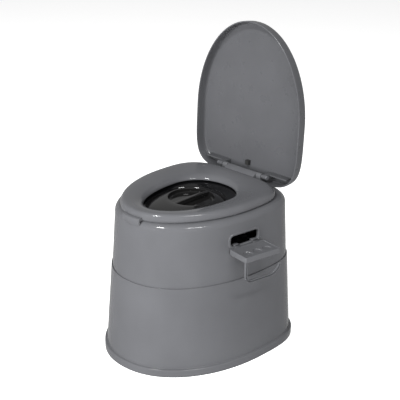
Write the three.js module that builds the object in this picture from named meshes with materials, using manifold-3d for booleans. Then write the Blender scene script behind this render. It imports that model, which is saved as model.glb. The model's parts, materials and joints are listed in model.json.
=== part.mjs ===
// Portable camp toilet: a two-part body, a hinged seat and lid, a lidded inner bucket and a hook-on roll holder.
// Millimetres, +Z up, front towards -Y, hinge line parallel to X, rest pose with the lid open and the seat down.
import * as THREE from "three";
import { mergeVertices } from "three/addons/utils/BufferGeometryUtils.js";
import Module from "manifold-3d";

const wasm = await Module();
wasm.setup();

// ---- Driving dimensions ----
const WALL = 3; // moulded shell thickness
const GAP = 0.3; // clearance between pieces that touch
const FLOOR_GAP = 1; // the foot stands this far up on its pads
const FOOT_TOP_Z = 20;
const FOOT_PROUD = 5.6;
const LIP = 2; // the lower shell is this thick where the skirt enters it
const SEAM_STEP = 13.56; // the upper shell's outline at the seam is this far inside the foot's
const SEAM_Z = 213.5; // top edge of the lower shell
const SHELL_LAP = 13.7; // how far the upper shell's skirt drops into the lower shell
const SHOULDER_Z = 344;
const DECK_Z = 360;
const SEAT_CROWN_Z = 380;
const HINGE_Y = 119.5;
const HINGE_Z = 381;
const LID_OPEN_DEG = 92.2;
const LID_RIM_RISE = 1; // lid rim above the hinge axis when closed
const LID_TAIL = 20; // lid skirt behind the hinge axis
const PIN_R = 3.3;
const PIN_HEAD_R = 5;
const BORE_R = 3.65;
const SLOT_LENGTH = 81;
const SLOT_HEIGHT = 24;
const SLOT_Z = 307.5;
const SLOT_Y = -52.8;
const SLOT_TURN_DEG = 9; // the wall at the slot is turned this much from the Y direction
const SHELF_DEPTH = 58;
const SHELF_LENGTH = 98;
const SHELF_TOP_Z = 293;
const SHELF_BASE_Z = 280;
const BUCKET_FLOOR_Z = 92;
const DISH_R = 53.5;
const DISH_Y = -57;
const SHELL_SEGMENTS = 56;
const BUCKET_SEGMENTS = 44;

// Egg-shaped outlines: half width W, front length F, rear length R, front and rear roundness, centre y0.
const BODY = { W: 186.6, F: 270.2, R: 168.7, nf: 2.14, nr: 3.2, y0: 0 };
const SEAT = { W: 152, F: 225.3, R: 126.7, nf: 1.93, nr: 3.6, y0: -14.7 };
const OPENING = { W: 84, F: 158, R: 83, nf: 2.07, nr: 2.16, y0: -30 };
const LID = { W: 160.8, F: 224.6, R: HINGE_Y + LID_TAIL + 14.7, nf: 1.99, nr: 5.2, y0: -14.7 };
const FLANGE = { W: 104, F: 140, R: 128, nf: 2.1, nr: 2.3, y0: -62 };
const PAIL = { W: 78, F: 126, R: 67, nf: 2.2, nr: 1.95, y0: -50 };
const LOWER_DRAFT = 0.0582; // wall lean per mm of height
const UPPER_DRAFT = 0.0481;
const FRONT_LEAN = 0.0152; // the front leans back by this much more
const CENTRE = { x: 20.74, y: -50.75 }; // middle of the whole object's footprint

// ---- Materials ----
const plastic = (color, roughness) => new THREE.MeshStandardMaterial({ color, roughness, metalness: 0 });
const GREY = plastic(0x6f7073, 0.38);
const LID_GREY = plastic(0x6c6d70, 0.4);
const BLACK = plastic(0x141416, 0.22);
const RUBBER = plastic(0x1b1b1c, 0.75);
const PIN_GREY = plastic(0x5b5c5f, 0.45);

// ---- Solids ----
function solid(geometry) {
  const bare = geometry.clone();
  bare.deleteAttribute("normal");
  bare.deleteAttribute("uv");
  const merged = mergeVertices(bare, 1e-4);
  const build = (index) =>
    new wasm.Manifold(
      new wasm.Mesh({
        numProp: 3,
        vertProperties: merged.attributes.position.array,
        triVerts: new Uint32Array(index),
      }),
    );
  const index = dropEmpty(Array.from(merged.index.array));
  const made = build(index);
  if (made.volume() >= 0) return made;
  for (let i = 0; i < index.length; i += 3) {
    [index[i + 1], index[i + 2]] = [index[i + 2], index[i + 1]];
  }
  return build(index);
}

function dropEmpty(index) {
  const kept = [];
  for (let i = 0; i < index.length; i += 3) {
    const [a, b, c] = index.slice(i, i + 3);
    if (a !== b && b !== c && c !== a) kept.push(a, b, c);
  }
  return kept;
}

const unite = (...parts) => parts.reduce((a, b) => a.add(b));
const cut = (base, ...tools) => tools.reduce((a, b) => a.subtract(b), base);

function mesh(name, part, material) {
  const data = part.getMesh();
  const geometry = new THREE.BufferGeometry();
  geometry.setAttribute("position", new THREE.BufferAttribute(new Float32Array(data.vertProperties), 3));
  geometry.setIndex(new THREE.BufferAttribute(new Uint32Array(data.triVerts), 1));
  geometry.computeVertexNormals();
  const made = new THREE.Mesh(geometry, material);
  made.name = name;
  return made;
}

// Distance from an outline's centre to its edge in the direction of angle.
function reach(egg, angle) {
  const c = Math.abs(Math.cos(angle));
  const s = Math.abs(Math.sin(angle));
  const front = Math.sin(angle) < 0;
  const n = front ? egg.nf : egg.nr;
  return ((c / egg.W) ** n + (s / (front ? egg.F : egg.R)) ** n) ** (-1 / n);
}

const grow = (egg, d, front = 0) => ({ ...egg, W: egg.W + d, F: egg.F + d + front, R: egg.R + d });

function mix(a, b, t) {
  const made = {};
  for (const key of Object.keys(a)) made[key] = a[key] * (1 - t) + b[key] * t;
  return made;
}

// A turned solid whose every ring follows its own egg outline. A ring is [egg or null, z]; null is on the axis.
function eggTurn(rings, segments, axisY = 0) {
  const profile = rings.map(([egg, z]) => new THREE.Vector2(egg ? egg.W : 0, z));
  const turned = new THREE.LatheGeometry(profile, segments);
  const position = turned.attributes.position;
  for (let i = 0; i <= segments; i++) {
    const angle = ((i % segments) / segments) * 2 * Math.PI;
    rings.forEach(([egg, z], j) => {
      const r = egg ? reach(egg, angle) : 0;
      const y0 = egg ? egg.y0 : axisY;
      position.setXYZ(i * rings.length + j, r * Math.cos(angle), y0 + r * Math.sin(angle), z);
    });
  }
  return solid(turned);
}

const closeRing = (rings) => [...rings, rings[0]];

// An upright prism on an egg outline.
function eggPrism(egg, z0, z1, segments) {
  return eggTurn([[null, z0], [egg, z0], [egg, z1], [null, z1]], segments, egg.y0);
}

function box(x0, x1, y0, y1, z0, z1) {
  const made = new THREE.BoxGeometry(x1 - x0, y1 - y0, z1 - z0);
  made.translate((x0 + x1) / 2, (y0 + y1) / 2, (z0 + z1) / 2);
  return solid(made);
}

// A cylinder from x0 to x1 along X, centred on (y, z).
function barX(r, x0, x1, y, z, segments = 28) {
  const made = new THREE.CylinderGeometry(r, r, x1 - x0, segments);
  made.rotateZ(Math.PI / 2);
  made.translate((x0 + x1) / 2, y, z);
  return solid(made);
}

function post(r, z0, z1, x, y, segments = 28) {
  const made = new THREE.CylinderGeometry(r, r, z1 - z0, segments);
  made.rotateX(Math.PI / 2);
  made.translate(x, y, (z0 + z1) / 2);
  return solid(made);
}

function roundedRect(width, height, r) {
  const shape = new THREE.Shape();
  const [w, h] = [width / 2, height / 2];
  shape.moveTo(-w + r, -h);
  shape.lineTo(w - r, -h);
  shape.absarc(w - r, -h + r, r, -Math.PI / 2, 0);
  shape.lineTo(w, h - r);
  shape.absarc(w - r, h - r, r, 0, Math.PI / 2);
  shape.lineTo(-w + r, h);
  shape.absarc(-w + r, h - r, r, Math.PI / 2, Math.PI);
  shape.lineTo(-w, -h + r);
  shape.absarc(-w + r, -h + r, r, Math.PI, 1.5 * Math.PI);
  return shape;
}

// A shape drawn in (along the wall, up) and extruded outwards, in the holder's own frame.
function outwards(shape, v0, v1, curveSegments = 5) {
  const made = new THREE.ExtrudeGeometry(shape, { depth: v1 - v0, bevelEnabled: false, curveSegments });
  made.rotateX(Math.PI / 2);
  made.rotateZ(Math.PI / 2);
  made.translate(v0, 0, 0);
  return made;
}

// The span [a, b] on the right side, or its mirror image on the left.
const spanOf = (side, [a, b]) => (side > 0 ? [a, b] : [-b, -a]);

// ---- Body outline at a height ----
const lowerDrop = (z) => (z - FOOT_TOP_Z) * LOWER_DRAFT;
const upperDrop = (z) => SEAM_STEP + (z - SEAM_Z) * UPPER_DRAFT;
const lean = (z) => -Math.max(0, z - FOOT_TOP_Z) * FRONT_LEAN;
const lower = (z, inset = 0) => [grow(BODY, -lowerDrop(z) - inset, lean(z)), z];
const upper = (z, inset = 0) => [grow(BODY, -upperDrop(z) - inset, lean(z)), z];

// ---- Lower shell ----
const PAD_R = 12;
const PAD_ANGLES = [-52, -128, 40, 140];
const padSpot = (degrees) => {
  const a = THREE.MathUtils.degToRad(degrees);
  const r = reach(BODY, a) - PAD_R - 1.5;
  return [r * Math.cos(a), r * Math.sin(a)];
};

const foot = (proud, z) => [grow(BODY, proud), z];
const LEDGE_Z = SEAM_Z - SHELL_LAP - GAP;
const lowerRings = [
  foot(FOOT_PROUD, FLOOR_GAP),
  foot(FOOT_PROUD, 13),
  foot(FOOT_PROUD - 1, 16.6),
  foot(FOOT_PROUD - 3.2, 18.6),
  foot(1.4, 20),
  foot(0.2, 22.5),
  lower(26),
  lower(SEAM_Z - 1),
  lower(SEAM_Z, 0.7),
  lower(SEAM_Z, LIP),
  lower(LEDGE_Z, LIP),
  lower(LEDGE_Z, WALL + 5),
  lower(LEDGE_Z - 3, WALL + 5),
  lower(LEDGE_Z - 7, WALL),
  lower(FOOT_TOP_Z, WALL),
  foot(-WALL, FLOOR_GAP),
];
let lowerShell = eggTurn(closeRing(lowerRings), SHELL_SEGMENTS);
const pads = [];
for (const degrees of PAD_ANGLES) {
  const [x, y] = padSpot(degrees);
  lowerShell = unite(lowerShell, post(PAD_R + 2.5, FLOOR_GAP, 12, x, y));
  pads.push([x, y]);
}
for (const [x, y] of pads) {
  lowerShell = cut(lowerShell, post(PAD_R + GAP, FLOOR_GAP - 1, 2.6, x, y));
}
const padSolids = pads.map(([x, y]) => post(PAD_R, 0, 2.6 - GAP, x, y));

// ---- Slot and holder frame ----
const holderTurn = -THREE.MathUtils.degToRad(SLOT_TURN_DEG);
const wallAt = (y, z) => {
  const [egg] = upper(z);
  return egg.W * (1 - (Math.abs(y) / egg.F) ** egg.nf) ** (1 / egg.nf);
};
const SLOT_X = wallAt(SLOT_Y, SLOT_Z);
function slotTool(side, spread, r, v0) {
  const made = outwards(roundedRect(SLOT_LENGTH + spread, SLOT_HEIGHT + spread, r), v0, 22);
  made.translate(0, 0, SLOT_Z);
  made.rotateZ(holderTurn);
  made.translate(SLOT_X, SLOT_Y, 0);
  made.scale(side, 1, 1);
  return solid(made);
}

// ---- Upper shell ----
const deckRing = (inset, z) => [upper(SHOULDER_Z, inset)[0], z];
const SHOULDER_R = DECK_Z - SHOULDER_Z;
const arcRings = (r, inset, sides) => {
  const rings = [];
  for (let k = 1; k <= sides; k++) {
    const a = (k / sides) * (Math.PI / 2);
    rings.push(deckRing(inset + r * (1 - Math.cos(a)), SHOULDER_Z + r * Math.sin(a)));
  }
  return rings;
};
const SKIRT_Z = LEDGE_Z + GAP;
// The skirt is upright, so that it slides out of the lower shell without binding.
const skirt = (z, inset = 0) => [upper(SEAM_Z, inset)[0], z];
const upperRings = [
  [null, DECK_Z - WALL],
  ...arcRings(SHOULDER_R - WALL, WALL, 3).reverse(),
  upper(SHOULDER_Z, WALL),
  upper(SEAM_Z, WALL),
  skirt(SKIRT_Z, WALL),
  skirt(SKIRT_Z),
  upper(SEAM_Z),
  upper(SHOULDER_Z),
  ...arcRings(SHOULDER_R, 0, 5),
  [null, DECK_Z],
];
const slotRim = eggTurn(
  [[null, 250], [upper(250, -1.6)[0], 250], [upper(342, -1.6)[0], 342], [null, 342]],
  SHELL_SEGMENTS,
).subtract(
  eggTurn(
    [[null, 249], [upper(249, 1)[0], 249], [upper(343, 1)[0], 343], [null, 343]],
    SHELL_SEGMENTS,
  ),
);
const POST_X = [47, 61];
const POST_HALF = 6.5;
let upperShell = unite(
  eggTurn(upperRings, SHELL_SEGMENTS, -40),
  slotRim.intersect(slotTool(1, 13, 14, -14)),
  slotRim.intersect(slotTool(-1, 13, 14, -14)),
  eggPrism(grow(FLANGE, 4), 351.5, DECK_Z - 1.5, BUCKET_SEGMENTS),
);
for (const side of [-1, 1]) {
  const [x0, x1] = spanOf(side, POST_X);
  const knuckle = unite(
    box(x0, x1, HINGE_Y - POST_HALF, HINGE_Y + POST_HALF, DECK_Z - 2, HINGE_Z),
    barX(POST_HALF, x0, x1, HINGE_Y, HINGE_Z),
  );
  upperShell = unite(upperShell, knuckle);
}
upperShell = cut(
  upperShell,
  eggPrism(grow(FLANGE, -7.4), 340, 370, BUCKET_SEGMENTS),
  eggPrism(grow(FLANGE, 1), 355.5, 370, BUCKET_SEGMENTS),
  slotTool(1, 0, 8, -22),
  slotTool(-1, 0, 8, -22),
  barX(BORE_R, -90, 90, HINGE_Y, HINGE_Z),
);

// ---- Seat ----
const ring = (u, z) => [mix(OPENING, SEAT, u), z];
const SEAT_Z = DECK_Z + GAP;
const seatRings = [
  ring(1, SEAT_Z),
  ring(1.01, 366),
  ring(0.99, 372),
  ring(0.935, 377),
  ring(0.85, 379.6),
  ring(0.7, SEAT_CROWN_Z),
  ring(0.45, 378),
  ring(0.22, 374),
  ring(0.07, 369.5),
  ring(0, 364.5),
  ring(0, 361),
  ring(0.045, 361),
  ring(0.1, 366),
  ring(0.45, 374.5),
  ring(0.7, 376.8),
  ring(0.87, 375.5),
  ring(0.945, 370),
  ring(0.952, SEAT_Z),
];
const BARREL_X = 46;
const BARREL_R = 5.6;
const TAB_HALF = 27;
const TAB_FRONT_Y = -250.5;
const TAB_TOP_Z = 366.5;
function tabPlate(depth, z0) {
  const shape = roundedRect(2 * TAB_HALF, depth, 2);
  const made = new THREE.ExtrudeGeometry(shape, { depth: TAB_TOP_Z - z0, bevelEnabled: false, curveSegments: 4 });
  return solid(made.translate(0, TAB_FRONT_Y + depth / 2, z0));
}
const tab = unite(tabPlate(14, SEAT_Z + 0.5), tabPlate(4.2, 349));
let seat = unite(
  eggTurn(closeRing(seatRings), SHELL_SEGMENTS),
  box(-BARREL_X, BARREL_X, HINGE_Y - 15, HINGE_Y, HINGE_Z - BARREL_R, HINGE_Z + 2),
  barX(BARREL_R, -BARREL_X, BARREL_X, HINGE_Y, HINGE_Z),
  tab,
);
seat = cut(
  seat,
  barX(BORE_R, -BARREL_X - 1, -31, HINGE_Y, HINGE_Z),
  barX(BORE_R, 31, BARREL_X + 1, HINGE_Y, HINGE_Z),
);

// Rubber studs in the seat's hollow underside, standing on the deck.
const BUFFER_U = 0.56;
const bufferSolids = [-62, -118, 38, 142].map((degrees) => {
  const a = THREE.MathUtils.degToRad(degrees);
  const [egg] = ring(BUFFER_U, 0);
  const r = reach(egg, a);
  return post(7, SEAT_Z, 373.4, r * Math.cos(a), egg.y0 + r * Math.sin(a), 24);
});

// ---- Lid, modelled closed and then swung open about the hinge ----
const lidRing = (inset, rise) => [grow(LID, -inset), HINGE_Z + rise];
const lidRings = [
  [null, HINGE_Z + 30],
  lidRing(15, 28.4),
  lidRing(9.5, 27.3),
  lidRing(6.3, 25.3),
  lidRing(4.4, 21.5),
  lidRing(3.4, 14),
  lidRing(3, LID_RIM_RISE),
  lidRing(0, LID_RIM_RISE),
  lidRing(0.6, 14),
  lidRing(1.6, 22),
  lidRing(3.6, 27),
  lidRing(7.5, 30.3),
  lidRing(14, 31.7),
  [null, HINGE_Z + 33],
];
const EAR_X = [64, 76]; // clear of the seat on both sides of the posts
const EAR_R = 5.6;
let lid = eggTurn(lidRings, SHELL_SEGMENTS, LID.y0);
for (const side of [-1, 1]) {
  const [x0, x1] = spanOf(side, EAR_X);
  const [r0, r1] = spanOf(side, [EAR_X[1], 128]);
  const [n0, n1] = spanOf(side, [POST_X[0] - 2, POST_X[1] + 0.6]);
  lid = unite(
    lid,
    box(x0, x1, HINGE_Y - EAR_R, HINGE_Y + EAR_R, HINGE_Z, HINGE_Z + 30),
    barX(EAR_R, x0, x1, HINGE_Y, HINGE_Z),
    box(r0, r1, HINGE_Y - 6, HINGE_Y - 3, HINGE_Z + 9, HINGE_Z + 30),
  );
  lid = cut(
    lid,
    box(n0, n1, HINGE_Y + 10, HINGE_Y + 30, HINGE_Z - 5, HINGE_Z + 16),
    barX(BORE_R, x0 - 5, x1 + 5, HINGE_Y, HINGE_Z),
  );
}
const lidBumper = box(-11, -1, HINGE_Y - 18, HINGE_Y - 7, HINGE_Z + 20, HINGE_Z + 29.2 - GAP - 0.4);

// ---- Hinge pins ----
const pin = (side) =>
  unite(
    barX(PIN_R, ...spanOf(side, [33, 79]), HINGE_Y, HINGE_Z),
    barX(PIN_HEAD_R, ...spanOf(side, [EAR_X[1] + GAP, 79]), HINGE_Y, HINGE_Z),
  );

// ---- Bucket with its lid and seal ----
const bucketRings = [
  [null, BUCKET_FLOOR_Z],
  [grow(PAIL, -24), BUCKET_FLOOR_Z],
  [grow(PAIL, -18.5), BUCKET_FLOOR_Z + 5],
  [grow(PAIL, -4), 340],
  [grow(PAIL, 4.5), 345],
  [mix(grow(PAIL, 8), FLANGE, 0.45), 351.5],
  [grow(FLANGE, -9), DECK_Z - 4.2],
  [FLANGE, DECK_Z - 4.2],
  [FLANGE, DECK_Z - 1.8],
  [grow(FLANGE, -3), DECK_Z - 0.8],
  [grow(FLANGE, -8), DECK_Z - 1],
  [grow(FLANGE, -13), DECK_Z - 3],
  [grow(PAIL, 5), 353.8],
  [grow(PAIL, 1.5), 352.2],
  [grow(PAIL, 1.5), 348],
  [grow(PAIL, -6.5), 348],
  [grow(PAIL, -21), BUCKET_FLOOR_Z + 6],
  [grow(PAIL, -26), BUCKET_FLOOR_Z + 2.5],
  [null, BUCKET_FLOOR_Z + 2.5],
];
const bucket = eggTurn(bucketRings, BUCKET_SEGMENTS, PAIL.y0);
const seal = eggTurn(
  closeRing([
    [grow(PAIL, -0.6), 348 + GAP],
    [grow(PAIL, -0.6), 350],
    [grow(PAIL, -4.5), 350],
    [grow(PAIL, -4.5), 348 + GAP],
  ]),
  BUCKET_SEGMENTS,
);
const bucketLidRings = [
  [null, 358.6],
  [grow(PAIL, -25), 357.6],
  [grow(PAIL, -14), 354.4],
  [grow(PAIL, -6), 350 + GAP],
  [PAIL, 350 + GAP],
  [PAIL, 352],
  [grow(PAIL, -2), 353],
  [grow(PAIL, -12), 357.2],
  [grow(PAIL, -24), 360.2],
  [null, 361.4],
];
const DISH_FLOOR_Z = 349.5;
let bucketLid = unite(
  eggTurn(bucketLidRings, BUCKET_SEGMENTS, PAIL.y0),
  post(DISH_R + 2.5, DISH_FLOOR_Z - 2.5, 357.8, 0, DISH_Y, 48),
);
bucketLid = cut(bucketLid, post(DISH_R, DISH_FLOOR_Z, 370, 0, DISH_Y, 48));
bucketLid = unite(bucketLid, box(-5, 5, DISH_Y - DISH_R - 1, DISH_Y + DISH_R + 1, DISH_FLOOR_Z - 1, 360.4));

// ---- Roll holder, in its own frame: x outwards from the wall, y along the wall, z up ----
const SILL_Z = SLOT_Z - SLOT_HEIGHT / 2;
const shelfPlan = roundedRect(SHELF_DEPTH, SHELF_LENGTH, 2.5);
const SHELF_V = 3;
const SHELF_U = 2.3;
const TRAY_Z = SHELF_TOP_Z - 2;
function plate(shape, z0, z1) {
  const made = new THREE.ExtrudeGeometry(shape, { depth: z1 - z0, bevelEnabled: false, curveSegments: 4 });
  made.translate(SHELF_V + SHELF_DEPTH / 2, SHELF_U, z0);
  return solid(made);
}
const BAR_U = SHELF_U - SHELF_LENGTH / 2 + 3.9;
const BAR_V = SHELF_V + SHELF_DEPTH - 3.9;
const HOOK_U = [-26, 26];
let shelf = cut(
  plate(shelfPlan, SHELF_BASE_Z, SHELF_TOP_Z),
  plate(roundedRect(SHELF_DEPTH - 6, SHELF_LENGTH - 6, 3), TRAY_Z, SHELF_TOP_Z + 5),
  plate(roundedRect(SHELF_DEPTH - 5, SHELF_LENGTH - 5, 2), SHELF_BASE_Z - 5, TRAY_Z - 5.5),
);
for (const u of [-27, 0, 27]) {
  shelf = cut(shelf, post(10.5, TRAY_Z - 3, TRAY_Z + 5, SHELF_V + 38, SHELF_U + u, 32));
}
shelf = unite(shelf, box(BAR_V - 6.5, BAR_V + 3.2, BAR_U - 3.2, BAR_U + 6.5, SHELF_BASE_Z, TRAY_Z - 4));
for (const u of HOOK_U) {
  shelf = unite(
    shelf,
    box(SHELF_V, SHELF_V + 3, u - 7, u + 7, SHELF_TOP_Z - 8, SILL_Z + 3.4),
    box(-9, SHELF_V + 3, u - 7, u + 7, SILL_Z + 0.4, SILL_Z + 3.4),
    box(-9, -6, u - 7, u + 7, SILL_Z - 11, SILL_Z + 3.4),
  );
}
const PEG = 1.8;
shelf = cut(
  shelf,
  box(BAR_V - PEG - GAP, BAR_V + PEG + GAP, BAR_U - PEG - GAP, BAR_U + PEG + GAP, SHELF_BASE_Z - 2, SHELF_BASE_Z + 6),
);

// The roll bar is a flat strap bent in one upright plane: leg, corner, run and an upturned free end.
const RUN_Z = 232;
const LEG_TOP_Z = SHELF_BASE_Z - GAP;
const BEND_R = 15;
const RUN_END_U = 25;
const TIP_R = 30;
function barPath() {
  const points = [new THREE.Vector2(BAR_U, LEG_TOP_Z)];
  for (let k = 0; k <= 7; k++) {
    const a = Math.PI + (k / 7) * (Math.PI / 2);
    points.push(new THREE.Vector2(BAR_U + BEND_R + BEND_R * Math.cos(a), RUN_Z + BEND_R + BEND_R * Math.sin(a)));
  }
  for (let k = 0; k <= 7; k++) {
    const a = -Math.PI / 2 + (k / 7) * (Math.PI * 0.42);
    points.push(new THREE.Vector2(RUN_END_U + TIP_R * Math.cos(a), RUN_Z + TIP_R + TIP_R * Math.sin(a)));
  }
  return points;
}
function strap(path, half) {
  const left = [];
  const right = [];
  path.forEach((p, i) => {
    const before = path[Math.max(0, i - 1)];
    const after = path[Math.min(path.length - 1, i + 1)];
    const across = after.clone().sub(before).normalize().rotateAround(new THREE.Vector2(), Math.PI / 2);
    left.push(p.clone().addScaledVector(across, half));
    right.unshift(p.clone().addScaledVector(across, -half));
  });
  return new THREE.Shape([...left, ...right]);
}
const path = barPath();
let rollBar = cut(
  solid(outwards(strap(path, 3.1), BAR_V - 2.8, BAR_V + 2.8)),
  solid(outwards(strap(path, 1.3), BAR_V + 1.6, BAR_V + 5)),
);
rollBar = unite(
  rollBar,
  box(BAR_V - PEG, BAR_V + PEG, BAR_U - PEG, BAR_U + PEG, LEG_TOP_Z - 1, SHELF_BASE_Z + 6 - GAP),
);

// ---- Assembly ----
const toilet = new THREE.Group();
toilet.position.set(-CENTRE.x, -CENTRE.y, 0);

const base = new THREE.Group();
base.add(mesh("lower_shell", lowerShell, GREY));
padSolids.forEach((part, i) => base.add(mesh(`foot_pad_${i + 1}`, part, RUBBER)));

const body = new THREE.Group();
body.add(mesh("upper_shell", upperShell, GREY));
body.add(mesh("hinge_pin_right", pin(1), PIN_GREY));
body.add(mesh("hinge_pin_left", pin(-1), PIN_GREY));
body.add(mesh("bucket", bucket, BLACK));

const bucketTop = new THREE.Group();
bucketTop.add(mesh("bucket_lid", bucketLid, BLACK));
bucketTop.add(mesh("bucket_lid_seal", seal, RUBBER));

const seatGroup = new THREE.Group();
seatGroup.add(mesh("seat", seat, GREY));
bufferSolids.forEach((part, i) => seatGroup.add(mesh(`seat_buffer_${i + 1}`, part, RUBBER)));

// The lid group turns about the hinge axis.
const hinge = new THREE.Group();
hinge.position.set(0, HINGE_Y, HINGE_Z);
hinge.rotation.x = -THREE.MathUtils.degToRad(LID_OPEN_DEG);
const lidGroup = new THREE.Group();
lidGroup.position.set(0, -HINGE_Y, -HINGE_Z);
lidGroup.add(mesh("lid", lid, LID_GREY));
lidGroup.add(mesh("lid_bumper", lidBumper, RUBBER));
hinge.add(lidGroup);

const holder = new THREE.Group();
holder.position.set(SLOT_X, SLOT_Y, 0);
holder.rotation.z = holderTurn;
holder.add(mesh("roll_shelf", shelf, GREY));
holder.add(mesh("roll_bar", rollBar, GREY));

toilet.add(base, body, bucketTop, seatGroup, hinge, holder);

export default toilet;
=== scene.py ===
"""Looks of the portable camp toilet: fine moulded surfaces, plastics, studio light and camera."""

import json
import math

import bmesh
import bpy
from mathutils import Matrix, Vector


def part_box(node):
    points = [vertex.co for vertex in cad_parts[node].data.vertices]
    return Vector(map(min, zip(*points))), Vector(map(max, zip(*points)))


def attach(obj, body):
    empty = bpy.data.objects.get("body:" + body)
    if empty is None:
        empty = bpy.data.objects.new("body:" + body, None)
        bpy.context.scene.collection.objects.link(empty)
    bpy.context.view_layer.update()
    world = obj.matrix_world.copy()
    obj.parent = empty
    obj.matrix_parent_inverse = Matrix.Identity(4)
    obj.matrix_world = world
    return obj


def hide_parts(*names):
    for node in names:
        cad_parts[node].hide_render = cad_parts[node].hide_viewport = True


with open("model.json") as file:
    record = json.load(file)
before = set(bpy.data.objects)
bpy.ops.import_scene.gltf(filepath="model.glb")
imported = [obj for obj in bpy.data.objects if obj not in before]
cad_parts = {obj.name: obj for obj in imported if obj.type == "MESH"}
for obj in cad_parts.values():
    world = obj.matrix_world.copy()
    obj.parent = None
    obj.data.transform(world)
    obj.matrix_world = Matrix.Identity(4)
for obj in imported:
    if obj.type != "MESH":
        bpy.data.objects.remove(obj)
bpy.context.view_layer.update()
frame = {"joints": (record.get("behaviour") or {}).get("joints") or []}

# ---- Driving sizes, millimetres, measured from the middle of the body's plan ----
MM = 0.001
BODY = dict(W=186.6, F=270.2, R=168.7, nf=2.14, nr=3.2, y0=0.0)
SEAT = dict(W=152.0, F=225.3, R=126.7, nf=1.93, nr=3.6, y0=-14.7)
OPENING = dict(W=84.0, F=158.0, R=83.0, nf=2.07, nr=2.16, y0=-30.0)
LID = dict(W=160.8, F=224.6, R=154.2, nf=1.99, nr=5.2, y0=-14.7)
FLANGE = dict(W=104.0, F=140.0, R=128.0, nf=2.1, nr=2.3, y0=-62.0)
PAIL = dict(W=78.0, F=126.0, R=67.0, nf=2.2, nr=1.95, y0=-50.0)
FOOT_PROUD = 5.6
FOOT_TOP_Z = 20.0
SEAM_Z = 213.5
SHOULDER_Z = 344.0
DECK_Z = 360.0
WALL = 3.0
LIP = 2.0
SEAM_STEP = 13.56
LOWER_DRAFT = 0.0582
UPPER_DRAFT = 0.0481
FRONT_LEAN = 0.0152
SLOT_Y = -52.8
SLOT_Z = 307.5
SLOT_LENGTH = 81.0
SLOT_HEIGHT = 24.0
SLOT_TURN = math.radians(9.0)
LID_OPEN = math.radians(92.2)

# ---- Where the body's plan sits in the frame ----
shell_low, shell_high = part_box("lower_shell")
ORIGIN = Vector(
    ((shell_low.x + shell_high.x) / 2, shell_low.y + (BODY["F"] + FOOT_PROUD) * MM, 0.0)
)
joints = {j["name"]: j for j in frame["joints"]}
hinge_at = Vector(joints["lid_hinge"]["pos_m"])
HINGE_Y = (hinge_at.y - ORIGIN.y) / MM
HINGE_Z = hinge_at.z / MM


def place(p):
    return Vector(p) * MM + ORIGIN


# ---- Outlines and profiles ----
def reach(egg, angle):
    c, s = abs(math.cos(angle)), abs(math.sin(angle))
    front = math.sin(angle) < 0
    n = egg["nf"] if front else egg["nr"]
    length = egg["F"] if front else egg["R"]
    return ((c / egg["W"]) ** n + (s / length) ** n) ** (-1 / n)


def grow(egg, d, front=0.0):
    return dict(egg, W=egg["W"] + d, F=egg["F"] + d + front, R=egg["R"] + d)


def mix(a, b, t):
    return {k: a[k] * (1 - t) + b[k] * t for k in a}


def lower_drop(z):
    return (z - FOOT_TOP_Z) * LOWER_DRAFT


def upper_drop(z):
    return SEAM_STEP + (max(z, SEAM_Z) - SEAM_Z) * UPPER_DRAFT


def lean(z):
    return -max(0.0, z - FOOT_TOP_Z) * FRONT_LEAN


def rounded(points, sides=6, closed=False):
    """A polyline of (a, b, radius) with its corners rounded."""
    out = []
    count = len(points)
    for i, (a, b, r) in enumerate(points):
        here = Vector((a, b))
        if r <= 0 or (not closed and i in (0, count - 1)):
            out.append((a, b))
            continue
        before = Vector(points[i - 1][:2]) - here
        after = Vector(points[(i + 1) % count][:2]) - here
        half = before.angle(after) / 2
        back = min(r / math.tan(half), before.length * 0.49, after.length * 0.49)
        start = here + before.normalized() * back
        end = here + after.normalized() * back
        for k in range(sides + 1):
            t = k / sides
            p = start * (1 - t) ** 2 + here * 2 * t * (1 - t) + end * t * t
            out.append((p.x, p.y))
    return out


def spline(points, steps):
    """A closed Catmull-Rom curve through the points."""
    out = []
    count = len(points)
    for i in range(count):
        ps = [Vector(points[(i + k) % count]) for k in (-1, 0, 1, 2)]
        for s in range(steps):
            t = s / steps
            p = 0.5 * (
                2 * ps[1]
                + (ps[2] - ps[0]) * t
                + (2 * ps[0] - 5 * ps[1] + 4 * ps[2] - ps[3]) * t * t
                + (3 * ps[1] - ps[0] - 3 * ps[2] + ps[3]) * t**3
            )
            out.append(tuple(p))
    return out


def angles(count):
    """Evenly spread angles round a full turn."""
    return [math.radians(360 * i / count) for i in range(count)]


# ---- Mesh building ----
SHARP_ANGLE = math.radians(28.0)


def shade(mesh):
    """Smooth shading that stops at the edges of flat faces."""
    for polygon in mesh.polygons:
        polygon.use_smooth = True
    mesh.set_sharp_from_angle(angle=SHARP_ANGLE)


def new_object(name, bm, material, body, replaces=()):
    bmesh.ops.recalc_face_normals(bm, faces=bm.faces)
    mesh = bpy.data.meshes.new(name)
    bm.to_mesh(mesh)
    bm.free()
    shade(mesh)
    piece = bpy.data.objects.new(name, mesh)
    bpy.context.scene.collection.objects.link(piece)
    mesh.materials.append(material)
    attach(piece, body)
    if replaces:
        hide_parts(*replaces)
    return piece


def loft(rings, closed=False):
    """A bmesh through rings of points; a ring of one point is a pole."""
    bm = bmesh.new()
    made = [[bm.verts.new(place(p)) for p in ring] for ring in rings]
    pairs = list(zip(made, made[1:]))
    if closed:
        pairs.append((made[-1], made[0]))
    for a, b in pairs:
        count = max(len(a), len(b))
        for i in range(count):
            j = (i + 1) % count
            if len(a) == 1:
                bm.faces.new((a[0], b[i], b[j]))
            elif len(b) == 1:
                bm.faces.new((a[i], b[0], a[j]))
            else:
                bm.faces.new((a[i], b[i], b[j], a[j]))
    return bm


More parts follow.
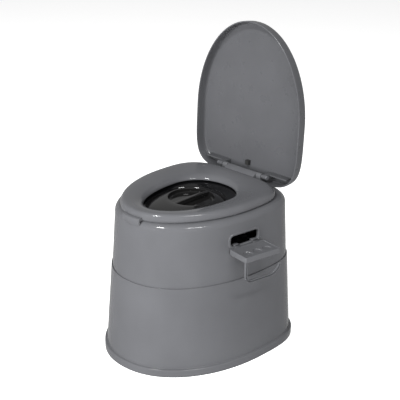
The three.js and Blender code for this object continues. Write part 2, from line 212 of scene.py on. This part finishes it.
def cap_ends(bm, count):
    """Closes a loft whose rings have this many points with its first and last ring."""
    bm.verts.ensure_lookup_table()
    bm.faces.new(bm.verts[:count])
    bm.faces.new(bm.verts[-count:])
    return bm


def egg_ring(egg, z, turns):
    return [
        (reach(egg, a) * math.cos(a), egg["y0"] + reach(egg, a) * math.sin(a), z)
        for a in turns
    ]


def apply_modifiers(piece):
    bpy.context.view_layer.update()
    evaluated = piece.evaluated_get(bpy.context.evaluated_depsgraph_get())
    mesh = bpy.data.meshes.new_from_object(evaluated)
    piece.modifiers.clear()
    piece.data = mesh
    shade(mesh)
    return piece


def subtract(piece, cutter):
    difference = piece.modifiers.new("cut", "BOOLEAN")
    difference.operation = "DIFFERENCE"
    difference.solver = "EXACT"
    difference.object = cutter
    apply_modifiers(piece)
    bpy.data.objects.remove(cutter)


def cutter_object(bm):
    bmesh.ops.recalc_face_normals(bm, faces=bm.faces)
    mesh = bpy.data.meshes.new("cutter")
    bm.to_mesh(mesh)
    bm.free()
    cutter = bpy.data.objects.new("cutter", mesh)
    bpy.context.scene.collection.objects.link(cutter)
    return cutter


BLOCK_FACES = ((0, 1, 3, 2), (4, 6, 7, 5), (0, 4, 5, 1), (2, 3, 7, 6), (0, 2, 6, 4), (1, 5, 7, 3))


def block(corners):
    """A bmesh block on eight corners, ordered by their first, second and third coordinate."""
    bm = bmesh.new()
    made = [bm.verts.new(place(corner)) for corner in corners]
    for face in BLOCK_FACES:
        bm.faces.new([made[i] for i in face])
    return bm


# ---- Materials ----
def plastic(name, color, roughness, grain=0.02, grain_scale=900.0, mottle=0.06, spec=0.5):
    """Moulded plastic: a fine spark-eroded grain, faint flow mottling and a little wear in the gloss."""
    material = bpy.data.materials.new(name)
    material.use_nodes = True
    nodes, links = material.node_tree.nodes, material.node_tree.links
    shader = nodes["Principled BSDF"]
    shader.inputs["Specular IOR Level"].default_value = spec
    shader.inputs["IOR"].default_value = 1.4
    where = nodes.new("ShaderNodeTexCoord")

    flow = nodes.new("ShaderNodeTexNoise")
    flow.inputs["Scale"].default_value = 9.0
    flow.inputs["Detail"].default_value = 3.0
    links.new(where.outputs["Object"], flow.inputs["Vector"])
    tint = nodes.new("ShaderNodeValToRGB")
    tint.color_ramp.elements[0].position = 0.3
    tint.color_ramp.elements[1].position = 0.7
    tint.color_ramp.elements[0].color = [c * (1 - mottle) for c in color] + [1]
    tint.color_ramp.elements[1].color = [c * (1 + mottle) for c in color] + [1]
    links.new(flow.outputs["Fac"], tint.inputs["Fac"])
    links.new(tint.outputs["Color"], shader.inputs["Base Color"])

    wear = nodes.new("ShaderNodeTexNoise")
    wear.inputs["Scale"].default_value = 42.0
    wear.inputs["Detail"].default_value = 5.0
    links.new(where.outputs["Object"], wear.inputs["Vector"])
    gloss = nodes.new("ShaderNodeMapRange")
    gloss.inputs["From Min"].default_value = 0.3
    gloss.inputs["From Max"].default_value = 0.7
    gloss.inputs["To Min"].default_value = roughness - 0.012
    gloss.inputs["To Max"].default_value = roughness + 0.022
    links.new(wear.outputs["Fac"], gloss.inputs["Value"])
    links.new(gloss.outputs["Result"], shader.inputs["Roughness"])

    pits = nodes.new("ShaderNodeTexNoise")
    pits.inputs["Scale"].default_value = grain_scale
    pits.inputs["Detail"].default_value = 2.0
    links.new(where.outputs["Object"], pits.inputs["Vector"])
    bump = nodes.new("ShaderNodeBump")
    bump.inputs["Strength"].default_value = grain * 10
    bump.inputs["Distance"].default_value = 0.0001
    links.new(pits.outputs["Fac"], bump.inputs["Height"])
    links.new(bump.outputs["Normal"], shader.inputs["Normal"])
    return material


GREY = plastic("moulded_grey", (0.049, 0.0498, 0.0533), 0.12, grain=0.002, spec=0.26)
LID_GREY = plastic("lid_moulded_grey", (0.0395, 0.0402, 0.0431), 0.28, grain=0.002, spec=0.26)
BLACK = plastic("bucket_gloss_black", (0.0015, 0.0015, 0.0017), 0.08, grain=0.004, spec=0.35)
LID_BLACK = plastic("bucket_lid_black", (0.0044, 0.0043, 0.0043), 0.08, grain=0.004, spec=0.42)
RUBBER = plastic("matt_rubber", (0.01, 0.01, 0.01), 0.7, grain=0.05)
PIN_GREY = plastic("pin_grey", (0.06, 0.061, 0.066), 0.42)

TURNS = angles(240)

# ---- Lower shell ----
FOOT = [
    (-WALL, 1, 0.5),
    (FOOT_PROUD, 1, 0.8),
    (FOOT_PROUD, 19.0, 3.2),
    (-0.1, 20.2, 1.6),
]


def lower_section():
    points = [(d, z, r) for d, z, r in FOOT]
    for z in (40, 80, 120, 160, 196, SEAM_Z - 4):
        points.append((-lower_drop(z), z, 0))
    points += [
        (-lower_drop(SEAM_Z), SEAM_Z, 1.0),
        (-lower_drop(SEAM_Z) - LIP, SEAM_Z, 0.7),
        (-lower_drop(SEAM_Z) - LIP, 199.6, 0.3),
        (-lower_drop(SEAM_Z) - LIP - 5.0, 199.6, 0.3),
        (-lower_drop(192) - WALL, 192, 0.3),
        (-WALL, 24, 0.3),
    ]
    return rounded(points, closed=True)


lower_rings = [egg_ring(grow(BODY, d, lean(z)), z, TURNS) for d, z in lower_section()]
new_object("lower_shell_skin", loft(lower_rings, closed=True), GREY, "base", ["lower_shell"])


# ---- Upper shell ----
def wall_egg(z, inset=0.0):
    return grow(BODY, -upper_drop(z) - inset, lean(max(z, SEAM_Z)))


def shoulder(r, inset, sides=12):
    rings = []
    for k in range(1, sides + 1):
        a = k / sides * math.pi / 2
        rings.append(
            (wall_egg(SHOULDER_Z, inset + r * (1 - math.cos(a))), SHOULDER_Z + r * math.sin(a))
        )
    return rings


SHOULDER_R = DECK_Z - SHOULDER_Z
outer_levels = [200.2, 206, 212] + [214 + 5 * k for k in range(26)] + [SHOULDER_Z]
deck_edge = wall_egg(SHOULDER_Z, SHOULDER_R)
recess_edge = grow(FLANGE, 1.0)
hole_edge = grow(FLANGE, -7.4)
upper_rings = [(wall_egg(z), z) for z in outer_levels]
upper_rings += shoulder(SHOULDER_R, 0.0)
upper_rings += [(mix(deck_edge, recess_edge, t), DECK_Z) for t in (0.15, 0.35, 0.6, 0.85, 0.98)]
upper_rings += [
    (recess_edge, DECK_Z - 0.3),
    (recess_edge, 355.9),
    (grow(FLANGE, 0.6), 355.5),
    (grow(FLANGE, -7.0), 355.5),
    (hole_edge, 355.1),
    (hole_edge, 352.0),
    (grow(FLANGE, 3.5), 352.0),
    (grow(FLANGE, 3.8), 356.8),
]
upper_rings += [
    (mix(wall_egg(SHOULDER_Z, SHOULDER_R), grow(FLANGE, 4), t), DECK_Z - WALL) for t in (0.7, 0.3)
]
upper_rings += list(reversed(shoulder(SHOULDER_R - WALL, WALL, 6)))
upper_rings += [(wall_egg(z, WALL), z) for z in (SHOULDER_Z, 300, 250, 214, 200.2)]
bm = loft([egg_ring(egg, z, TURNS) for egg, z in upper_rings], closed=True)
upper = new_object("upper_shell_skin", bm, GREY, "body", ["upper_shell"])


def wall_point(side, s, t, h=0.0):
    """A point of the wall, s along the slot, t above its middle and h out from the wall."""
    def at(s_, t_):
        egg = wall_egg(SLOT_Z + t_)
        y = SLOT_Y + s_ * math.cos(SLOT_TURN)
        n = egg["nf"]
        x = egg["W"] * (1 - (abs(y) / egg["F"]) ** n) ** (1 / n)
        return Vector((x, y, SLOT_Z + t_))

    p = at(s, t)
    normal = (at(s + 0.5, t) - at(s - 0.5, t)).cross(at(s, t + 0.5) - at(s, t - 0.5)).normalized()
    if normal.x < 0:
        normal.negate()
    q = p + normal * h
    return Vector((side * q.x, q.y, q.z))


def rounded_rect(width, height, r, sides=10):
    """Points and outward directions round a rounded rectangle."""
    out = []
    for k, (cx, cy) in enumerate(((1, 1), (-1, 1), (-1, -1), (1, -1))):
        for i in range(sides + 1):
            a = math.pi / 2 * (k + i / sides)
            direction = Vector((math.cos(a), math.sin(a)))
            centre = Vector((cx * (width / 2 - r), cy * (height / 2 - r)))
            out.append((centre + direction * r, direction))
    return out


SLOT_RIM = [(6.6, -0.3), (6.4, 0.5), (5.8, 1.1), (4.8, 1.45), (3.2, 1.5), (1.8, 1.4), (0.8, 1.0), (0.2, 0.3),
            (0.0, -1.0), (0.1, -3.2), (0.6, -5.5), (3.0, -5.7)]


def slot_cutter(side):
    bm = bmesh.new()
    outline = rounded_rect(SLOT_LENGTH + 5, SLOT_HEIGHT + 5, 10)
    rows = []
    for h in (-12.0, 12.0):
        rows.append([bm.verts.new(place(wall_point(side, p.x, p.y, h))) for p, _ in outline])
    count = len(outline)
    for i in range(count):
        j = (i + 1) % count
        bm.faces.new((rows[0][i], rows[0][j], rows[1][j], rows[1][i]))
    bm.faces.new(rows[0])
    bm.faces.new(reversed(rows[1]))
    return cutter_object(bm)


for side, label in ((1, "right"), (-1, "left")):
    subtract(upper, slot_cutter(side))
    outline = rounded_rect(SLOT_LENGTH, SLOT_HEIGHT, 8)
    rows = [
        [place(wall_point(side, (p + d * o).x, (p + d * o).y, h)) for p, d in outline]
        for o, h in SLOT_RIM
    ]
    bm = bmesh.new()
    grid = [[bm.verts.new(p) for p in row] for row in rows]
    count = len(outline)
    for a, b in zip(grid, grid[1:]):
        for i in range(count):
            j = (i + 1) % count
            bm.faces.new((a[i], a[j], b[j], b[i]))
    new_object(f"slot_rim_{label}", bm, GREY, "body", ["upper_shell"])


def bevelled(name, points, x0, x1, bevel, material, body, slot, replaces=()):
    """A (y, z) outline extruded along X with rounded edges."""
    bm = bmesh.new()
    ends = [[bm.verts.new(place((x, y, z))) for y, z in points] for x in (x0, x1)]
    count = len(points)
    for i in range(count):
        j = (i + 1) % count
        bm.faces.new((ends[0][i], ends[0][j], ends[1][j], ends[1][i]))
    bm.faces.new(ends[0])
    bm.faces.new(reversed(ends[1]))
    edges = [e for e in bm.edges if len({round(v.co.x, 7) for v in e.verts}) == 1]
    bmesh.ops.recalc_face_normals(bm, faces=bm.faces)
    bmesh.ops.bevel(bm, geom=edges, offset=bevel * MM, segments=3, profile=0.5, affect="EDGES")
    return new_object(name, bm, material, body, replaces)


def knuckle(r, foot_z, sides=20):
    """A (y, z) outline of a post rounded over the hinge line."""
    points = [(HINGE_Y - r, foot_z), (HINGE_Y + r, foot_z)]
    for k in range(sides + 1):
        a = math.pi * k / sides
        points.append((HINGE_Y + r * math.cos(a), HINGE_Z + r * math.sin(a)))
    return points


POST_R = 6.5
POST_X = (47.0, 61.0)
for side, label in ((1, "right"), (-1, "left")):
    ends = [side * x for x in POST_X]
    post = knuckle(POST_R, DECK_Z - 1)
    bevelled(f"hinge_post_{label}", post, *ends, 0.8, GREY, "body", "body_grey", ["upper_shell"])

# ---- Seat ----
# Each point is a share of the way from the opening to the outer edge, and a height.
SEAT_SECTION = [
    (0.955, 360.3), (0.958, 361.8), (0.985, 362.4), (1.004, 363.2), (1.012, 365.5), (1.012, 368),
    (0.995, 372.4), (0.945, 377), (0.86, 379.6), (0.7, 380.0), (0.5, 378.7), (0.3, 376), (0.13, 372.2),
    (0.035, 367.8), (0.0, 363.8), (0.005, 361.2), (0.035, 361.0), (0.1, 366), (0.45, 374.2), (0.7, 376.4),
    (0.87, 375.2), (0.93, 370), (0.938, 362), (0.94, 360.3),
]
seat_rings = [egg_ring(mix(OPENING, SEAT, u), z, TURNS) for u, z in spline(SEAT_SECTION, 4)]
new_object("seat_skin", loft(seat_rings, closed=True), GREY, "seat", ["seat"])
BARREL_R = 5.6
BARREL_HALF = 46.0
barrel = [(HINGE_Y - 15, HINGE_Z - BARREL_R), (HINGE_Y, HINGE_Z - BARREL_R)]
for k in range(21):
    a = -math.pi / 2 + math.pi * 1.02 * k / 20
    barrel.append((HINGE_Y + BARREL_R * math.cos(a), HINGE_Z + BARREL_R * math.sin(a)))
barrel += [(HINGE_Y - 10, HINGE_Z + 1.0), (HINGE_Y - 15, HINGE_Z - 1.5)]
bevelled("seat_barrel", barrel, -BARREL_HALF, BARREL_HALF, 0.8, GREY, "seat", "body_grey", ["seat"])

# The finger tab hangs from the seat's front edge and follows its curve.
TAB_ROOT_Z = 361.2
TAB_TIP_Z = 349.3
TAB_SECTION = rounded(
    [
        (0.0, 355.6, 0.9), (2.5, 354.6, 0.6), (2.8, TAB_TIP_Z, 0.3), (3.8, TAB_TIP_Z, 0.3),
        (3.8, TAB_ROOT_Z, 0.3), (13.0, TAB_ROOT_Z, 0.3), (13.0, 367.4, 0.5), (6.5, 367.8, 2.0),
        (1.2, 366.4, 2.0), (0.0, 362.0, 1.0),
    ],
    4,
    closed=True,
)
TAB_HALF = 27.0
TAB_FRONT_Y = -250.5
TAB_STEPS = 24
TAB_CORNER = 6.0
TAB_CORNER_RISE = 7.0


def tab_point(x, inward, z):
    """A point of the tab, inward from the curve that its front face follows."""
    n = SEAT["nf"]
    curve = SEAT["F"] * (1 - (abs(x) / SEAT["W"]) ** n) ** (1 / n) - SEAT["F"]
    return (x, TAB_FRONT_Y - curve + inward, z)


tab_rings = []
for k in range(TAB_STEPS + 1):
    x = -TAB_HALF + 2 * TAB_HALF * k / TAB_STEPS
    # The last steps at each end round the tab's lower corners.
    near_end = max(0.0, 1 - (TAB_HALF - abs(x)) / TAB_CORNER)
    lift = TAB_CORNER_RISE * (1 - math.sqrt(1 - min(near_end, 1.0) ** 2))
    ring = []
    for v, z in TAB_SECTION:
        share = max(0.0, (TAB_ROOT_Z - z) / (TAB_ROOT_Z - TAB_TIP_Z))
        ring.append(tab_point(x, v, z + lift * share))
    tab_rings.append(ring)
tab_bm = cap_ends(loft(tab_rings), len(TAB_SECTION))
new_object("seat_tab", tab_bm, GREY, "seat", ["seat"])

# ---- Lid, drawn closed and swung open ----
# Each point is a distance in from the lid's outline, and a rise above the hinge line.
LID_OUTSIDE = [
    (145, 33.0), (110, 32.9), (60.0, 32.7), (30.0, 32.3), (14.0, 31.7), (9.6, 31.1), (6.4, 29.8),
    (4.0, 27.6), (2.5, 24.8), (1.5, 21.0), (0.7, 14.0), (0.25, 6.0), (0.0, 2.2), (0.25, 1.4), (0.9, 1.0),
]
LID_INSIDE = [
    (2.2, 1.0), (2.8, 1.3), (3.0, 2.2), (3.3, 9.0), (3.7, 17.0), (4.0, 22.5), (4.7, 25.2), (6.4, 27.1),
    (9.4, 28.0), (14.0, 28.5), (30.0, 29.2), (60.0, 29.7), (110, 29.9), (145, 30.0),
]
opened = Matrix.Rotation(-LID_OPEN, 3, "X")
hinge_mm = Vector((0, HINGE_Y, HINGE_Z))


def swing(p):
    return opened @ (Vector(p) - hinge_mm) + hinge_mm


def lid_pole(rise):
    return [swing((0, LID["y0"], HINGE_Z + rise))]


lid_rings = [lid_pole(33.0)]
for d, rise in LID_OUTSIDE + LID_INSIDE:
    lid_rings.append([swing(p) for p in egg_ring(grow(LID, -d), HINGE_Z + rise, TURNS)])
lid_rings.append(lid_pole(30.0))
lid = new_object("lid_skin", loft(lid_rings), LID_GREY, "lid", ["lid"])

NOTCH_X = (45.0, 61.6)
NOTCH_Y = (10.0, 30.0)  # behind the hinge line
NOTCH_RISE = (-5.0, 16.0)
EAR_R = 5.6
EAR_X = (64.0, 76.0)
RIB_X = (76.5, 128.0)
RIB_Y = (-6.0, -3.0)
RIB_BASE_RISE = 9.0
UNDER_TOP_RISE = 30.0  # the ears and ribs reach up into the lid's top


def lid_outline(points):
    """Swings a (y, z) outline, given from the hinge line, open with the lid."""
    return [swing((0, HINGE_Y + y, HINGE_Z + z))[1:] for y, z in points]


for side, label in ((1, "right"), (-1, "left")):
    # The rear skirt is notched where it swings past the hinge post.
    notch = []
    for x in NOTCH_X:
        notch += [swing((side * x, HINGE_Y + y, HINGE_Z + z)) for y in NOTCH_Y for z in NOTCH_RISE]
    subtract(lid, cutter_object(block(notch)))

    ear = [(-EAR_R, UNDER_TOP_RISE)]
    for k in range(21):
        a = math.pi + math.pi * k / 20
        ear.append((EAR_R * math.cos(a), EAR_R * math.sin(a)))
    ear = lid_outline(ear + [(EAR_R, UNDER_TOP_RISE)])
    ends = [side * x for x in EAR_X]
    bevelled(f"lid_ear_{label}", ear, *ends, 0.6, LID_GREY, "lid", "lid_grey", ["lid"])

    near, far = RIB_Y
    rib = lid_outline(
        [(near, RIB_BASE_RISE), (far, RIB_BASE_RISE), (far, UNDER_TOP_RISE), (near, UNDER_TOP_RISE)]
    )
    ends = [side * x for x in RIB_X]
    bevelled(f"lid_rib_{label}", rib, *ends, 0.5, LID_GREY, "lid", "lid_grey", ["lid"])

# ---- Bucket and its lid ----
BUCKET_BASE_Z = 92.0
BUCKET_FLOOR_Z = 94.5
slope_top = grow(FLANGE, -13)
slope_foot = grow(PAIL, 5)
bucket_section = [
    (grow(PAIL, -24), BUCKET_BASE_Z), (grow(PAIL, -18.5), 97.0), (grow(PAIL, -4), 340.0),
    (grow(PAIL, 4.5), 345.0), (mix(grow(PAIL, 8), FLANGE, 0.45), 351.5), (grow(FLANGE, -9), 355.9),
    (FLANGE, 356.0), (grow(FLANGE, 0.3), 357.2), (grow(FLANGE, -0.6), 358.6), (grow(FLANGE, -3), 359.2),
    (grow(FLANGE, -7), 359.2), (grow(FLANGE, -11), 358.2), (mix(slope_top, slope_foot, 0.3), 356.2),
    (mix(slope_top, slope_foot, 0.7), 354.4), (slope_foot, 353.4), (grow(PAIL, 2.2), 352.5),
    (grow(PAIL, 1.5), 351.5), (grow(PAIL, 1.5), 348.0), (grow(PAIL, -6.5), 348.0),
    (grow(PAIL, -7), 340.0), (grow(PAIL, -21), 98.0), (grow(PAIL, -26), BUCKET_FLOOR_Z),
]
bucket_rings = [[(0, PAIL["y0"], BUCKET_BASE_Z)]]
bucket_rings += [egg_ring(egg, z, TURNS) for egg, z in bucket_section]
bucket_rings += [[(0, PAIL["y0"], BUCKET_FLOOR_Z)]]
new_object("bucket_skin", loft(bucket_rings), BLACK, "body", ["bucket"])

DISH_R = 53.5
DISH_Y = -57.0
DISH = dict(W=DISH_R, F=DISH_R, R=DISH_R, nf=2.0, nr=2.0, y0=DISH_Y)
DISH_FLOOR_Z = 349.5
dome_edge = grow(PAIL, -2)
dish_section = [
    (grow(PAIL, -4), 350.3), (PAIL, 350.4), (grow(PAIL, 0.2), 351.2), (grow(PAIL, -0.4), 352.2),
    (dome_edge, 353.2), (mix(dome_edge, DISH, 0.25), 355.8), (mix(dome_edge, DISH, 0.5), 357.9),
    (mix(dome_edge, DISH, 0.75), 359.3), (grow(DISH, 2.4), 360.1), (grow(DISH, 1.0), 359.9),
    (grow(DISH, 0.2), 359.0), (DISH, 357.5), (grow(DISH, -0.3), 353.0), (grow(DISH, -1.2), 351.0),
    (grow(DISH, -3.2), 349.9), (grow(DISH, -6), 349.6), (grow(DISH, -30), DISH_FLOOR_Z),
]
dish_rings = [egg_ring(egg, z, TURNS) for egg, z in dish_section] + [[(0, DISH_Y, DISH_FLOOR_Z)]]
new_object("bucket_lid_skin", loft(dish_rings), LID_BLACK, "bucket_top", ["bucket_lid"])

BRIDGE_HALF = DISH_R + 0.6
BRIDGE_HALF_WIDTH = 5.0
bridge = [
    (-BRIDGE_HALF, 350.0), (-BRIDGE_HALF, 359.6), (-DISH_R / 2, 360.3), (0.0, 360.5),
    (DISH_R / 2, 360.3), (BRIDGE_HALF, 359.6), (BRIDGE_HALF, 350.0),
]
bridge = [(DISH_Y + y, z) for y, z in bridge]
ends = (-BRIDGE_HALF_WIDTH, BRIDGE_HALF_WIDTH)
bevelled("bucket_lid_bar", bridge, *ends, 1.3, LID_BLACK, "bucket_top", "bucket_black", ["bucket_lid"])

# ---- Roll holder ----
SHELF_V = 3.0
SHELF_U = 2.3
SHELF_DEPTH = 58.0
SHELF_LENGTH = 98.0
SHELF_TOP_Z = 293.0
SHELF_BASE_Z = 280.0
TRAY_Z = 291.0
SILL_Z = SLOT_Z - SLOT_HEIGHT / 2
SLOT_X = wall_point(1, 0, 0).x


def holder(v, u, z):
    c, t = math.cos(SLOT_TURN), math.sin(SLOT_TURN)
    return (SLOT_X + v * c + u * t, SLOT_Y - v * t + u * c, z)


def shelf_ring(shrink, r, z):
    outline = rounded_rect(SHELF_DEPTH - 2 * shrink, SHELF_LENGTH - 2 * shrink, r, 5)
    return [holder(SHELF_V + SHELF_DEPTH / 2 + p.x, SHELF_U + p.y, z) for p, _ in outline]


# From the hollow underside, round the edge and down into the tray: inset, corner radius, height.
SHELF_SECTION = [
    (2.5, 1.5, TRAY_Z - 2.5), (2.5, 1.5, SHELF_BASE_Z + 0.5), (2.0, 1.5, SHELF_BASE_Z),
    (0.6, 2.2, SHELF_BASE_Z), (0.0, 2.5, SHELF_BASE_Z + 0.6), (0.0, 2.5, SHELF_TOP_Z - 0.7),
    (0.2, 2.3, SHELF_TOP_Z - 0.2), (0.7, 2.0, SHELF_TOP_Z), (2.5, 1.5, SHELF_TOP_Z),
    (3.0, 1.2, SHELF_TOP_Z - 0.4), (3.1, 1.2, TRAY_Z + 0.3), (3.4, 1.2, TRAY_Z),
]
shelf_rings = [shelf_ring(*step) for step in SHELF_SECTION]
shelf_bm = cap_ends(loft(shelf_rings), len(shelf_rings[0]))
shelf = new_object("shelf_skin", shelf_bm, GREY, "roll_holder", ["roll_shelf"])


def disc_cutter(v, u, r, z0, z1, sides=48):
    """A round cutter with a small radius at its floor and a rounded mouth."""
    rows = []
    for radius, z in ((r - 0.8, z0), (r, z0 + 0.8), (r, z1 - 1.0), (r + 0.5, z1 - 0.4), (r + 0.6, z1 + 3)):
        row = []
        for k in range(sides):
            a = math.tau * k / sides
            row.append(holder(v + radius * math.cos(a), u + radius * math.sin(a), z))
        rows.append(row)
    return cutter_object(cap_ends(loft(rows), sides))


RECESS_R = 10.5
RECESS_V = SHELF_V + 38.0
RECESS_U = (-27.0, 0.0, 27.0)
for u in RECESS_U:
    subtract(shelf, disc_cutter(RECESS_V, SHELF_U + u, RECESS_R, TRAY_Z - 2.2, TRAY_Z + 0.3))


def holder_block(name, v0, v1, u0, u1, z0, z1, bevel=0.5):
    bm = block([holder(v, u, z) for v in (v0, v1) for u in (u0, u1) for z in (z0, z1)])
    bmesh.ops.recalc_face_normals(bm, faces=bm.faces)
    bmesh.ops.bevel(bm, geom=bm.edges[:], offset=bevel * MM, segments=2, profile=0.5, affect="EDGES")
    return new_object(name, bm, GREY, "roll_holder", ["roll_shelf"])


HOOK_HALF = 7.0
HOOK_BACK_V = -9.0
HOOK_THICK = 3.0
HOOK_TOP_Z = SILL_Z + 3.4
for u, label in ((-26.0, "near"), (26.0, "far")):
    run = (u - HOOK_HALF, u + HOOK_HALF)
    front_v = SHELF_V + HOOK_THICK
    holder_block(f"hook_{label}_riser", SHELF_V + 0.1, front_v, *run, SHELF_TOP_Z - 6, HOOK_TOP_Z)
    holder_block(f"hook_{label}_bridge", HOOK_BACK_V, front_v, *run, SILL_Z + 0.4, HOOK_TOP_Z)
    finger_v = (HOOK_BACK_V, HOOK_BACK_V + HOOK_THICK)
    holder_block(f"hook_{label}_finger", *finger_v, *run, SILL_Z - 11, HOOK_TOP_Z)

BAR_U = SHELF_U - SHELF_LENGTH / 2 + 3.9
BAR_V = SHELF_V + SHELF_DEPTH - 3.9
RUN_Z = 232.0
BEND_R = 15.0
RUN_END_U = 25.0
TIP_R = 30.0
bar_path = [(BAR_U, SHELF_BASE_Z - 0.3)]
for k in range(15):
    a = math.pi + k / 14 * math.pi / 2
    bar_path.append((BAR_U + BEND_R * (1 + math.cos(a)), RUN_Z + BEND_R * (1 + math.sin(a))))
for k in range(19):
    a = -math.pi / 2 + k / 18 * math.pi * 0.42
    bar_path.append((RUN_END_U + TIP_R * math.cos(a), RUN_Z + TIP_R * (1 + math.sin(a))))
# The bar's section has a groove along its outer face.
STRAP = rounded(
    [
        (-2.8, -3.1, 1.0), (-2.8, 3.1, 1.0), (2.8, 3.1, 0.6), (2.8, 1.5, 0.3), (0.2, 1.2, 0.4),
        (0.2, -1.2, 0.4), (2.8, -1.5, 0.3), (2.8, -3.1, 0.6),
    ],
    3,
    closed=True,
)
bar_rings = []
for i, (u, z) in enumerate(bar_path):
    before, after = bar_path[max(i - 1, 0)], bar_path[min(i + 1, len(bar_path) - 1)]
    along = Vector((after[0] - before[0], after[1] - before[1])).normalized()
    across = Vector((-along.y, along.x))
    bar_rings.append([holder(BAR_V + v, u + w * across.x, z + w * across.y) for v, w in STRAP])
bar_bm = cap_ends(loft(bar_rings), len(STRAP))
new_object("bar_skin", bar_bm, GREY, "roll_holder", ["roll_bar"])

# ---- Small pieces that keep their own meshes ----
KEPT = {
    "hinge_pin_right": PIN_GREY,
    "hinge_pin_left": PIN_GREY,
    "bucket_lid_seal": RUBBER,
    "lid_bumper": RUBBER,
}
KEPT.update({f"foot_pad_{i}": RUBBER for i in range(1, 5)})
KEPT.update({f"seat_buffer_{i}": RUBBER for i in range(1, 5)})
for node, material in KEPT.items():
    for slot in bpy.data.objects[node].material_slots:
        slot.material = material

# ---- Camera ----
AZIMUTH = math.radians(43.773)
ELEVATION = math.radians(21.961)
ROLL = math.radians(0.848)
DISTANCE = 2437.0
AIM = Vector((-15.06, -11.82, 334.68))
LENS = 93.157
SENSOR = 36.0


def towards(azimuth, elevation):
    """The direction of a bearing from the front towards +X, at a height angle."""
    level = math.cos(elevation)
    return Vector((math.sin(azimuth) * level, -math.cos(azimuth) * level, math.sin(elevation)))


back = towards(AZIMUTH, ELEVATION)
right = Vector((math.cos(AZIMUTH), math.sin(AZIMUTH), 0))
up = back.cross(right)
camera_data = bpy.data.cameras.new("camera")
camera_data.lens = LENS
camera_data.sensor_width = SENSOR
camera = bpy.data.objects.new("camera", camera_data)
bpy.context.scene.collection.objects.link(camera)
rolled_right = right * math.cos(ROLL) + up * math.sin(ROLL)
rolled_up = up * math.cos(ROLL) - right * math.sin(ROLL)
turn = Matrix((rolled_right, rolled_up, back)).transposed().to_4x4()
camera.matrix_world = Matrix.Translation(place(AIM + back * DISTANCE)) @ turn
bpy.context.scene.camera = camera

# ---- Stage and light ----
FLOOR_HALF = 30.0
SHADE_SHEET_RISE = 0.4


def stage_sheet(name, corners, material_name, color, emission=0.0):
    """A flat sheet of the stage, lit but not part of the object."""
    mesh = bpy.data.meshes.new(name)
    mesh.from_pydata(corners, [], [tuple(range(len(corners)))])
    sheet = bpy.data.objects.new(name, mesh)
    bpy.context.scene.collection.objects.link(sheet)
    material = bpy.data.materials.new(material_name)
    material.use_nodes = True
    shader = material.node_tree.nodes["Principled BSDF"]
    shader.inputs["Base Color"].default_value = (color, color, color, 1)
    shader.inputs["Roughness"].default_value = 0.9
    shader.inputs["Emission Color"].default_value = (1, 1, 1, 1)
    shader.inputs["Emission Strength"].default_value = emission
    mesh.materials.append(material)
    return sheet


floor_corners = [(x * FLOOR_HALF, y * FLOOR_HALF, 0) for x, y in ((-1, -1), (1, -1), (1, 1), (-1, 1))]
floor = stage_sheet("floor", floor_corners, "pale_floor", 0.93, emission=0.3)
floor.visible_glossy = False  # the walls don't mirror the floor where they turn away

# A dark sheet inside the foot, painted shade on the floor under the body, so that no light comes up through
# the open base.
shade_sheet_outline = [tuple(place((x, y, SHADE_SHEET_RISE))) for x, y, _ in egg_ring(grow(BODY, 2.0), 0, TURNS)]
stage_sheet("floor_shade_sheet", shade_sheet_outline, "painted_shade_floor", 0.01)

world = bpy.data.worlds.new("studio")
bpy.context.scene.world = world
world.use_nodes = True
world.node_tree.nodes["Background"].inputs["Color"].default_value = (1, 1, 1, 1)
world.node_tree.nodes["Background"].inputs["Strength"].default_value = 0.5
bpy.context.scene.view_settings.view_transform = "Standard"


LIGHT_AIM = Vector((0, 0, 0.3))


def softbox(name, azimuth, elevation, distance, width, height, power, reflected=True):
    """A rectangular lamp facing the object, placed by its bearing from the front and its height angle."""
    data = bpy.data.lights.new(name, "AREA")
    data.shape = "RECTANGLE"
    data.size = width
    data.size_y = height
    data.energy = power
    lamp = bpy.data.objects.new(name, data)
    lamp.visible_glossy = reflected
    bpy.context.scene.collection.objects.link(lamp)
    lamp.location = LIGHT_AIM + distance * towards(math.radians(azimuth), math.radians(elevation))
    lamp.rotation_euler = (LIGHT_AIM - lamp.location).to_track_quat("-Z", "Y").to_euler()


# The large boxes light the plastic evenly, and only the two small ones show as highlights.
softbox("front_box", 0, 14, 3.2, 1.6, 1.6, 186.0, reflected=False)
softbox("right_box", 55, 14, 3.2, 1.6, 1.6, 82.0, reflected=False)
softbox("key", 11, 48, 2.8, 0.45, 0.2, 90.0)
softbox("fill", 76, 48, 2.8, 0.9, 0.2, 46.0)
